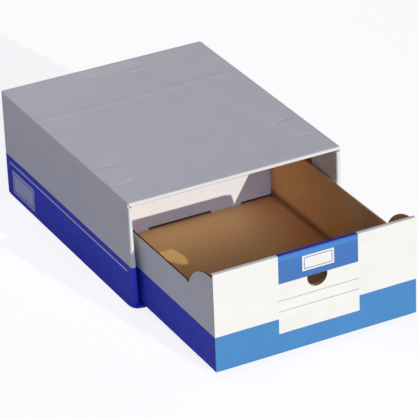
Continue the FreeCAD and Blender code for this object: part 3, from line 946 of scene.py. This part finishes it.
def make_top():
    ridge = [REAR - TUCK_RIDGE_FROM_REAR + d for d in RIDGE_GRID]
    slot = [REAR - SLOT_FROM_REAR + d for d in SLOT_GRID]
    panel = Panel(
        rectangle(-TOP_EDGE, TOP_EDGE, FRONT + ROLL / 2, REAR), top_place,
        holes=[slot_outline()], joined_u=(-TOP_EDGE, TOP_EDGE), joined_v=(FRONT + ROLL / 2,),
        v_extra=ridge + slot,
        u_extra=[side * (TOP_EDGE - d) for side in (-1, 1) for d in (4, 14)],
        flush=lambda u, v: v < REAR - 1 and abs(u) < OUTER / 2, flutes_cross="v",
        scores=tab_scores())
    sleeve_piece("top_board", "casing_top", [panel])


def make_floor():
    panel = Panel(
        rectangle(-TOP_EDGE, TOP_EDGE, FRONT + ROLL / 2, REAR - CREASE_OUT), floor_place,
        joined_u=(-TOP_EDGE, TOP_EDGE), joined_v=(FRONT + ROLL / 2, REAR - CREASE_OUT),
        u_extra=[s * (TOP_EDGE - d) for s in (-1, 1) for d in (3, 6, 10, 15)],
        v_extra=[FRONT + ROLL / 2 + d for d in (3, 6, 10, 15)], flutes_cross="v", cell=2 * CELL)
    sleeve_piece("floor_board", "casing_floor", [panel])


def make_wall(side, name, node):
    """The front edge follows the rolled edge, and the lower rear corner is rounded."""
    flat_end = QUARTER + WALL_FLAT

    def front_at(v):
        return FRONT + ROLL / 2 + swell(side, v - QUARTER + CREASE_OUT)

    heights = [0.0, *np.linspace(QUARTER, flat_end, 14), WALL_SPAN]
    front_edge = [(front_at(v), v) for v in reversed(heights)]
    radius = WALL_CORNER_RADIUS
    corner = arc_points((REAR_INNER - radius, radius + QUARTER - CREASE_OUT), radius, -90, -25, 6)
    crease_end = REAR_INNER - radius - 3     # the lower crease stops short of the corner
    bend_low, bend_high = radius + 4, flat_end - ROLL    # where the wall bends into its flap
    outline = [
        *front_edge, (crease_end, 0.0), (crease_end, QUARTER - 0.6),
        *[(u, v) for u, v in corner if u < WALL_BACK],
        (WALL_BACK, bend_low - 2), (WALL_BACK + QUARTER, bend_low),
        (WALL_BACK + QUARTER, bend_high), (WALL_BACK, bend_high + 1.5), (WALL_BACK, WALL_SPAN),
    ]
    panel = Panel(
        outline, partial(wall_place, side),
        v_extra=crease_lines(0) + [QUARTER + d for d in (3, 6, 10, 14)] + crease_lines(flat_end),
        u_extra=[FRONT + ROLL + d for d in (1, 4, 7, 11)] + crease_lines(WALL_BACK),
        joined_u=(WALL_BACK + QUARTER,), joined_v=(0.0, WALL_SPAN),
        flush=lambda u, v: u < FRONT + ROLL + 1)
    sleeve_piece(name, node, [panel])


def roll_lines():
    return list(np.linspace(0, TURN_ARC, 13))


def on_roll(u, v):
    return v < SHOULDER[1] + 0.4


def make_level_turn_in(upper):
    """The top's rolled edge spans the sleeve. The floor's lies between the sides' rolled edges."""
    wide = OUTER - 1.0 if upper else OUTER - ROLL - ROLL_GAP
    narrow = OUTER - ROLL
    outline = mirrored([
        (wide, 0), (wide, SHOULDER[0]), (narrow, SHOULDER[1]),
        (narrow, TURN_END - TURN_IN_TAPER), (narrow - TURN_IN_TAPER, TURN_END),
    ])
    panel = Panel(
        outline, partial(level_turn_in_place, upper), v_extra=roll_lines(),
        u_extra=[side * (wide - d) for side in (-1, 1) for d in (2.0, 4.5, 8.0)],
        flush=on_roll, flutes_cross="v")
    name, color = ("top_turn_in", "white") if upper else ("floor_turn_in", "blue")
    sleeve_piece(name, f"casing_{name}", [panel])


def make_side_turn_in(side, name, node):
    low, high = side_turn_low[2], side_turn_high[2]
    foot, head = 0.5, high - 0.1
    end = TURN_END - max(LEFT_SWELL)
    outline = [
        (foot, 0), (head, 0), (head, TURN_ARC), (high, SHOULDER[1] + 0.3),
        (high, end - TURN_IN_TAPER), (high - TURN_IN_TAPER, end),
        (low + TURN_IN_TAPER, end), (low, end - TURN_IN_TAPER), (low, SHOULDER[1]),
        (foot, SHOULDER[0]),
    ]
    panel = Panel(
        outline, partial(side_turn_in_place, side), v_extra=roll_lines(), flush=on_roll,
        flutes_cross="v")
    sleeve_piece(name, node, [panel])


def make_rear():
    panel = Panel(
        rectangle(-TOP_EDGE, TOP_EDGE, 0, REAR_SPAN), rear_place,
        v_extra=crease_lines(0) + crease_lines(QUARTER + REAR_FLAT),
        joined_v=(0, REAR_SPAN), flutes_cross="v")
    sleeve_piece("rear_board", "casing_rear_panel", [panel])


def tongue_place(u, v, w):
    """The lock's tongue: it rises from the tuck flap into the slot."""
    return u, slot_middle(u) - TONGUE_THIN * w, CEILING - BOARD + 0.2 + v * TONGUE_RISE


def make_tuck_flap():
    half = tuck_high[0]
    start, end = REAR - CREASE_OUT, tuck_low[1]
    outline = mirrored([(half, start), (half, end + TUCK_TAPER), (half - TUCK_TAPER, end)])
    flap = Panel(outline, lambda u, v, w: (u, v, CEILING - HALF + w), joined_v=(start,),
                 flutes_cross="v")
    reach = (SLOT_LENGTH - 1) / 2
    tongue = Panel(
        rectangle(SLOT_SIDEWAYS - reach, SLOT_SIDEWAYS + reach, 0, 1), tongue_place,
        joined_u=(SLOT_SIDEWAYS - reach, SLOT_SIDEWAYS + reach), joined_v=(0, 1), cell=4)
    sleeve_piece("tuck_flap", "casing_rear_tuck_flap", [flap, tongue])


def make_side_flap(side, name, node):
    hinge, end = TOP_EDGE, side_flap_low[0]
    low, high = max(side_flap_low[2], WALL_CORNER_RADIUS + 5), side_flap_high[2]
    panel = Panel(flap_outline(hinge, end, low, high, SIDE_FLAP_TAPER, 3),
                  lambda u, v, w: (side * u, REAR_INNER - HALF + w, v), joined_u=(hinge,),
                  cell=2 * CELL)
    sleeve_piece(name, node, [panel])


def make_seam_flap():
    panel = Panel(
        rectangle(seam_low[0], seam_high[0], seam_low[1], seam_high[1]),
        lambda u, v, w: (u, v, seam_low[2] + HALF + w), joined_u=(seam_low[0],),
        flutes_cross="v", cell=2 * CELL)
    sleeve_piece("seam_flap", "casing_seam_flap", [panel],
                 (KRAFT_LINER, KRAFT_LINER, CUT_EDGE))


# ---- Drawer ----
def ear_curve():
    """The ear's edge from the notch to the front, as (y, z)."""
    low = D_SIDE_TOP - EAR_NOTCH_DEPTH
    notch, peak = D_FRONT + EAR_LENGTH, D_FRONT + EAR_PEAK
    rise = D_EAR_TOP - low
    radius = ((notch - peak) ** 2 + rise ** 2) / (2 * rise)
    return [(y, D_EAR_TOP - radius + math.sqrt(radius ** 2 - (y - peak) ** 2))
            for y in np.linspace(notch, D_WALL_FRONT - QUARTER, 22)]


def make_drawer_wall(side, name, node):
    lift = QUARTER - CREASE_OUT - D_BOTTOM          # from z to the pattern's v
    top = D_SIDE_TOP + lift
    foot = QUARTER + 1.2                            # where its two ends start to bend
    front_end, back_end = D_WALL_FRONT - QUARTER, D_WALL_BACK + QUARTER
    outline = [
        (D_WALL_FRONT, 0), (D_WALL_BACK, 0), (D_WALL_BACK, foot), (back_end, foot),
        (back_end, top - 3.0), (D_WALL_BACK, top),
        (D_FRONT + EAR_LENGTH + EAR_NOTCH_WIDTH, top),
        *[(y, z + lift) for y, z in ear_curve()],
        (front_end, foot), (D_WALL_FRONT, foot),
    ]
    panel = Panel(
        outline, partial(drawer_wall_place, side), v_extra=crease_lines(0),
        u_extra=crease_lines(front_end) + crease_lines(D_WALL_BACK),
        joined_u=(front_end, back_end), joined_v=(0,), flutes_cross="v")
    # The right wall's cut edge is painted lit; the left's keeps the dark cut edge.
    drawer_piece(name, node, [panel],
                 (DRAWER_SIDE_INK, DRAWER_KRAFT, CUT_EDGE if side < 0 else LIT_EDGE))


def tab_spans():
    a, b = TAB_FROM_MIDDLE, TAB_FROM_MIDDLE + TAB_WIDTH
    return [(D_MIDDLE - b, D_MIDDLE - a), (D_MIDDLE + a, D_MIDDLE + b)]


def hole_outline(v_top, down):
    """The finger hole in the pattern, its straight edge at v_top; down is the way to its foot."""
    half = HOLE_WIDTH / 2
    radius = (half ** 2 + HOLE_DEPTH ** 2) / (2 * HOLE_DEPTH)
    start = math.degrees(math.atan2(half, radius - HOLE_DEPTH))
    arc = arc_points((0, radius - HOLE_DEPTH), radius, -90 - start, -90 + start, 28)
    return [(D_MIDDLE + HOLE_SIDEWAYS + a, v_top - down * b) for a, b in arc]


def end_outside(place, panel_end, holes):
    """The outer panel, its foot narrowed where it bends up from the floor."""
    outline = mirrored([(D_RIGHT - CREASE_OUT, 0), (D_RIGHT, QUARTER * 0.4),
                        (D_RIGHT, panel_end)], D_MIDDLE)
    return Panel(outline, place, holes=holes, v_extra=crease_lines(0), joined_u=(D_LEFT, D_RIGHT),
                 joined_v=(0, panel_end), flush=lambda u, v: v < QUARTER)


def end_rim(place, half, start, end):
    outline = rectangle(D_MIDDLE - half, D_MIDDLE + half, start, end)
    return Panel(outline, place, v_extra=crease_lines(start) + crease_lines(end - QUARTER),
                 joined_v=(start, end))


def end_lining(place, start, foot, tab_end, holes):
    """The lining, with the two tabs on its foot that go through the floor."""
    half = (d_lining_high[0] - d_lining_low[0]) / 2
    left_tab, right_tab = tab_spans()
    outline = mirrored([
        (D_MIDDLE + half, start), (D_MIDDLE + half, foot), (right_tab[1], foot),
        (right_tab[1], tab_end), (right_tab[0], tab_end), (right_tab[0], foot),
    ], D_MIDDLE)
    return Panel(outline, place, holes=holes, joined_v=(start,), u_extra=left_tab + right_tab,
                 v_extra=(foot,))


def make_end(at_front):
    """Outer panel, rim and lining of the drawer's front or back: one run of board, creased."""
    label = "front" if at_front else "back"
    flat = FRONT_FLAT if at_front else BACK_FLAT
    top = D_FRONT_TOP if at_front else D_SIDE_TOP
    place = partial(end_place, at_front, flat)
    panel_end = QUARTER + flat
    rim_end = panel_end + 2 * QUARTER + RIM_FLAT
    floor_v = rim_end + (top - RIM_CREASE) - D_BOTTOM        # the drawer's underside
    hole = hole_outline(QUARTER - CREASE_OUT + (top - D_BOTTOM) - HOLE_DROP, -1)
    inner_hole = hole_outline(rim_end + HOLE_DROP - RIM_CREASE, 1)
    paints = (DRAWER_FRONT_INK if at_front else DRAWER_SIDE_INK, DRAWER_KRAFT, CUT_EDGE)
    outside = end_outside(place, panel_end, [hole] if at_front else [])
    drawer_piece(f"drawer_{label}_board", f"drawer_{label}_panel", [outside], paints)
    rim = end_rim(place, D_HALF if at_front else D_HALF - BOARD, panel_end, rim_end)
    drawer_piece(f"drawer_{label}_rim_strip", f"drawer_{label}_rim", [rim], paints)
    lining = end_lining(place, rim_end, floor_v - BOARD - LINING_LIFT, floor_v,
                        [inner_hole] if at_front else [])
    drawer_piece(f"drawer_{label}_inner_board", f"drawer_{label}_lining", [lining],
                 (LINING_INK, DRAWER_KRAFT, CUT_EDGE))


def make_drawer_floor():
    slots = [rectangle(left - TAB_GAP, right + TAB_GAP, y - TAB_GAP, y + BOARD + TAB_GAP)
             for y in (D_FRONT + END_THICKNESS - BOARD, D_BACK - END_THICKNESS)
             for left, right in tab_spans()]
    left, right = D_LEFT + CREASE_OUT, D_RIGHT - CREASE_OUT
    front, back = D_FRONT + CREASE_OUT, D_BACK - CREASE_OUT
    panel = Panel(rectangle(left, right, front, back),
                  lambda u, v, w: (u, v, D_BOTTOM + HALF - w), holes=slots,
                  joined_u=(left, right), joined_v=(front, back))
    drawer_piece("drawer_floor_board", "drawer_floor", [panel],
                 (DRAWER_SIDE_INK, FLOOR_KRAFT, CUT_EDGE))


def make_corner_flap(at_front, side, name, node):
    low_box, high_box = box_mm(f"drawer_{'front' if at_front else 'back'}_left_flap")
    hinge = D_HALF - CREASE_OUT
    end = D_HALF - BOARD - (high_box[0] - low_box[0])
    panel = Panel(flap_outline(hinge, end, low_box[2], high_box[2], CORNER_FLAP_TAPER, 2),
                  partial(corner_flap_place, at_front, side), joined_u=(hinge,),
                  flutes_cross="v", cell=2 * CELL)
    drawer_piece(name, node, [panel], (DRAWER_SIDE_INK, DRAWER_KRAFT, CUT_EDGE))


make_top()
make_floor()
make_level_turn_in(True)
make_level_turn_in(False)
make_rear()
make_tuck_flap()
make_seam_flap()
for side, word in ((-1, "left"), (1, "right")):
    make_wall(side, f"{word}_wall_board", f"casing_{word}_wall")
    make_side_turn_in(side, f"{word}_turn_in", f"casing_{word}_turn_in")
    make_side_flap(side, f"rear_{word}_flap", f"casing_rear_{word}_flap")
    make_drawer_wall(side, f"drawer_{word}_board", f"drawer_{word}_wall")
    for at_front, end_word in ((True, "front"), (False, "back")):
        make_corner_flap(at_front, side, f"drawer_{end_word}_{word}_tuck",
                         f"drawer_{end_word}_{word}_flap")
make_end(True)
make_end(False)
make_drawer_floor()

# ---- Floor, light and camera, in metres ----
CAMERA_YAW = math.radians(26.760)
CAMERA_PITCH = math.radians(27.605)
CAMERA_ROLL = math.radians(-2.314)
CAMERA_LENS = 249.4
CAMERA_PLACE = Vector((-1.37631, -2.83339, 1.66093))
KEY_TRAVEL = (-0.193, 1.0, -0.309)
KEY_ANGLE = 0.35
KEY_LEVEL = 0.83
KEY_COLOR = (1.0, 0.95, 0.79)
SOFT_LIGHTS = (                  # name, place, size, power and colour
    ("fill", (-0.2, -2.8, 1.53), 1.6, 31.0, (0.50, 0.65, 1.0)),
    ("high", (-0.75, 0.95, 1.98), 1.6, 15.6, (0.78, 0.77, 0.98)),
)
SKY_COLOR = (0.58, 0.62, 1.0, 1.0)
SKY_LEVEL = 0.05
FLOOR_COLOR = (0.82, 0.82, 0.83, 1)
FLOOR_GLOW = 1.2                 # only for the camera, so that a plain floor looks white
FLOOR_GLOW_SHARE = 0.7
FLOOR_REACH = 12.0
FLOOR_GAP = 0.0004               # metres between the floor and the sleeve's underside


def make_camera():
    data = bpy.data.cameras.new("camera")
    data.sensor_width = 36.0
    data.lens = CAMERA_LENS
    data.clip_start, data.clip_end = 0.1, 60.0
    camera = bpy.data.objects.new("camera", data)
    bpy.context.scene.collection.objects.link(camera)
    turn = Euler((math.pi / 2 - CAMERA_PITCH, 0, -CAMERA_YAW)).to_matrix()
    roll = Matrix.Rotation(CAMERA_ROLL, 3, "Z")
    camera.matrix_world = Matrix.LocRotScale(CAMERA_PLACE, turn @ roll, None)
    bpy.context.scene.camera = camera


def make_lamp(name, kind, energy, color, place, aim, **settings):
    data = bpy.data.lights.new(name, kind)
    data.energy = energy
    data.color = color
    for key, value in settings.items():
        setattr(data, key, value)
    lamp = bpy.data.objects.new(name, data)
    bpy.context.scene.collection.objects.link(lamp)
    lamp.location = place
    lamp.rotation_euler = aim.to_track_quat("-Z", "Y").to_euler()


def make_lights():
    """A low warm sun from the front right, and two broad discs aimed at the object."""
    make_lamp("key", "SUN", KEY_LEVEL * math.pi, KEY_COLOR, (0, 0, 0), Vector(KEY_TRAVEL),
              angle=math.radians(KEY_ANGLE))
    target = Vector((0, FRONT * MM, HEIGHT * MM / 2))
    for name, place, size, power, color in SOFT_LIGHTS:
        make_lamp(name, "AREA", power, color, place, target - Vector(place), shape="DISK",
                  size=size)


def make_stage():
    mesh = bpy.data.meshes.new("floor")
    corners = rectangle(-FLOOR_REACH, FLOOR_REACH, -FLOOR_REACH, FLOOR_REACH)
    mesh.from_pydata([(x, y, 0) for x, y in corners], [], [(0, 1, 2, 3)])
    floor = bpy.data.objects.new("floor", mesh)
    floor.location.z = -FLOOR_GAP
    bpy.context.scene.collection.objects.link(floor)
    s = Shader("floor")
    s.set(s.surface.inputs["Base Color"], FLOOR_COLOR)
    s.set(s.surface.inputs["Roughness"], 0.9)
    glow = s.add("ShaderNodeEmission", {"Strength": FLOOR_GLOW})
    s.look_at_camera(s.surface, glow, FLOOR_GLOW_SHARE, "Material Output")
    mesh.materials.append(s.material)


def make_world():
    """A faint sky that lights the object, and white where the camera looks."""
    world = bpy.data.worlds.new("studio")
    t = Tree(world)
    soft = t.tree.nodes["Background"]
    t.set(soft.inputs["Color"], SKY_COLOR)
    t.set(soft.inputs["Strength"], SKY_LEVEL)
    t.look_at_camera(soft, t.add("ShaderNodeBackground"), 1.0, "World Output")
    bpy.context.scene.world = world


make_camera()
make_stage()
make_world()
make_lights()

bpy.context.scene.view_settings.view_transform = "Standard"
